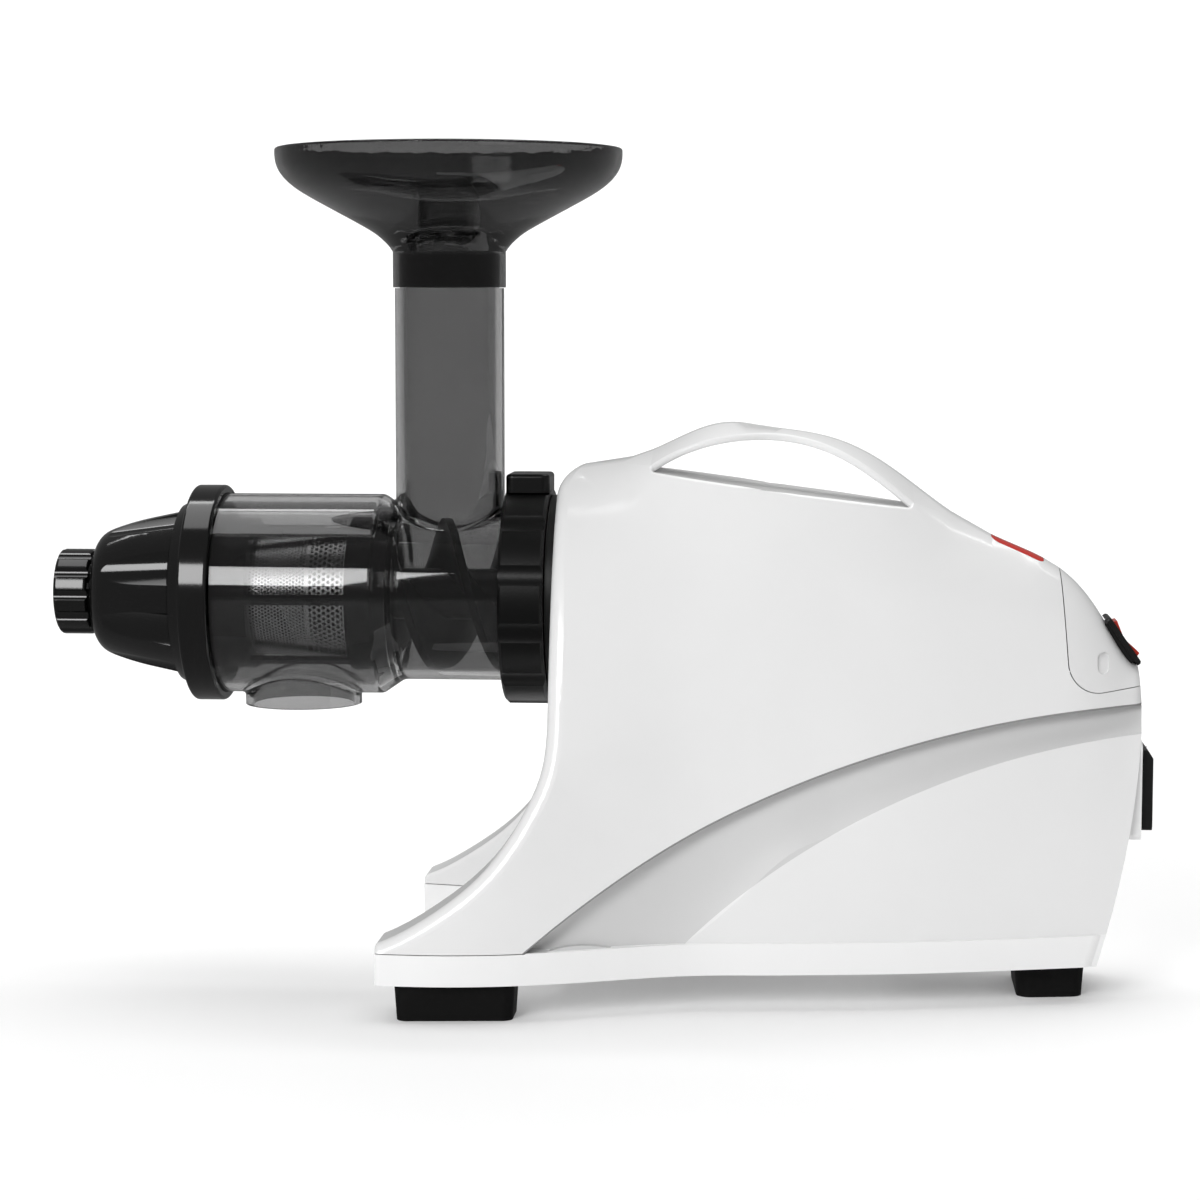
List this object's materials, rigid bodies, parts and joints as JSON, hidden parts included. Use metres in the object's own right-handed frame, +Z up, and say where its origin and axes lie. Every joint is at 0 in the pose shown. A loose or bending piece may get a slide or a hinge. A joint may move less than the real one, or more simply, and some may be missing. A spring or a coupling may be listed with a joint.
{
  "type": "cold press juicer",
  "caption": "Horizontal auger juicer: white motor housing with handle and legs, smoked drum and hopper, locking collar, end cap with adjusting knob, and geared motor inside.",
  "frame": {"origin": "centre of the bounding box at the height of the feet", "axes": "+X from the end cap to the mains inlet, along the auger; +Y to the far side; +Z up"},
  "size_m": [0.426, 0.163, 0.3245],
  "materials": {
    "white_gloss": "moulded, polished",
    "red_lens": "clear red plastic",
    "black_rubber": "matte",
    "screw_steel": "zinc plated",
    "black_plastic": "satin",
    "red_rocker": "polished",
    "contact_brass": "bright",
    "port_black": "satin",
    "collar_black": "satin",
    "smoked_clear": "smoked transparent plastic",
    "screen_steel": "etched sheet",
    "frame_plastic": "satin",
    "auger_black": "satin",
    "cap_black": "polished",
    "hopper_smoked": "dark smoked transparent plastic",
    "cast_alloy": "as cast",
    "gear_steel": "hobbed",
    "rotor_steel": "turned",
    "lamination": "laminated",
    "winding": "varnished copper wire",
    "bearing_steel": "ground",
    "fan_plastic": "satin",
    "capacitor_can": "drawn can",
    "strap_steel": "plated"
  },
  "bodies": {
    "housing": {"bearing_lay_front": "bearing_steel", "bearing_lay_rear": "bearing_steel", "bearing_motor_front": "bearing_steel", "bearing_motor_rear": "bearing_steel", "bearing_output_front": "bearing_steel", "bearing_output_rear": "bearing_steel", "capacitor_clip": "strap_steel", "drum_port": "port_black", "drum_seal": "black_rubber", "foot_front_far": "black_rubber", "foot_front_near": "black_rubber", "foot_rear": "black_rubber", "foot_screws": "screw_steel", "gearbox_bolts": "screw_steel", "gearbox_case": "cast_alloy", "gearbox_plate": "cast_alloy", "housing_screws": "screw_steel", "indicator_lens": "red_lens", "inlet_pins": "contact_brass", "inlet_screws": "screw_steel", "inlet_socket": "black_plastic", "juicing_drum": "smoked_clear", "juicing_screen": "screen_steel", "lower_housing": "white_gloss", "motor_bolts": "screw_steel", "motor_front_shield": "cast_alloy", "motor_rear_shield": "cast_alloy", "motor_stator": "lamination", "port_screws": "screw_steel", "rear_cover": "white_gloss", "run_capacitor": "capacitor_can", "screen_frame": "frame_plastic", "stator_coils": "winding", "switch_frame": "black_plastic", "upper_housing": "white_gloss"},
    "rotor": {"motor_shaft": "gear_steel", "motor_pinion": "gear_steel", "motor_rotor": "rotor_steel", "motor_fan": "fan_plastic"},
    "layshaft": {"lay_shaft": "gear_steel", "lay_pinion": "gear_steel", "lay_wheel": "gear_steel"},
    "output": {"output_shaft": "gear_steel", "output_gear": "gear_steel", "auger": "auger_black"},
    "collar": {"lock_collar": "collar_black"},
    "cap": {"end_cap": "cap_black"},
    "knob": {"adjusting_knob": "cap_black"},
    "hopper": {"hopper": "hopper_smoked"},
    "rocker": {"switch_rocker": "red_rocker"}
  },
  "joints": [
    {"name": "motor_spin", "type": "hinge", "parent": "housing", "child": "rotor", "pos_m": [0.07, 0, 0.07475], "axis": [1, 0, 0], "continuous": true},
    {"name": "layshaft_spin", "type": "hinge", "parent": "housing", "child": "layshaft", "pos_m": [0.01, 0, 0.11075], "axis": [1, 0, 0], "continuous": true},
    {"name": "auger_spin", "type": "hinge", "parent": "housing", "child": "output", "pos_m": [-0.02, 0, 0.152], "axis": [1, 0, 0], "continuous": true},
    {"name": "collar_twist", "type": "hinge", "parent": "housing", "child": "collar", "pos_m": [-0.03, 0, 0.152], "axis": [-1, 0, 0], "range_deg": [0, 60]},
    {"name": "cap_twist", "type": "hinge", "parent": "housing", "child": "cap", "pos_m": [-0.15, 0, 0.152], "axis": [-1, 0, 0], "range_deg": [0, 30]},
    {"name": "knob_turn", "type": "hinge", "parent": "cap", "child": "knob", "pos_m": [-0.205, 0, 0.152], "axis": [-1, 0, 0], "range_deg": [0, 270]},
    {"name": "hopper_lift", "type": "slide", "parent": "housing", "child": "hopper", "axis": [0, 0, 1], "range_m": [0, 0.06]},
    {"name": "rocker_tilt", "type": "hinge", "parent": "housing", "child": "rocker", "pos_m": [0.2008, 0, 0.1359], "axis": [0, 1, 0], "range_deg": [-9, 9]}
  ],
  "couplings": [
    {"joint": "layshaft_spin", "follows": "motor_spin", "ratio": -0.2},
    {"joint": "auger_spin", "follows": "motor_spin", "ratio": 0.044444}
  ]
}
